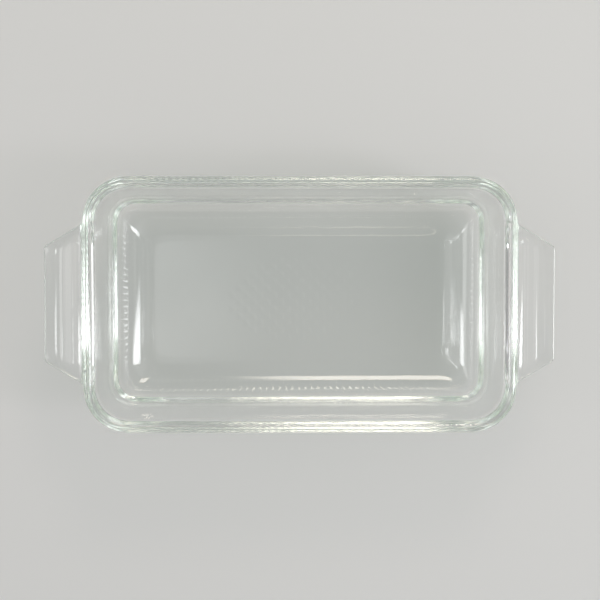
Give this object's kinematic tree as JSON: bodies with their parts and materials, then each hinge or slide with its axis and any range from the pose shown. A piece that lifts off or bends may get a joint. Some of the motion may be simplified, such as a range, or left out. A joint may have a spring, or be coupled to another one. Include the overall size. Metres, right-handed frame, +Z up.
{
  "type": "glass loaf dish",
  "caption": "Deep rectangular baking dish in clear pressed glass, with rounded corners, leaning walls, a thicker collar at the rim and a tab handle at each end.",
  "frame": {"origin": "middle of the plane that the dish stands on, under the centre of the bowl", "axes": "+X along the bowl and through the middle of both handles, +Y across the bowl, +Z up out of the mouth"},
  "size_m": [0.269, 0.134, 0.07],
  "materials": {
    "clear_glass": "clear, smooth and fire-polished, with a faint green tint where it is thick"
  },
  "bodies": {
    "root": {"loaf_dish": "clear_glass"}
  },
  "joints": []
}
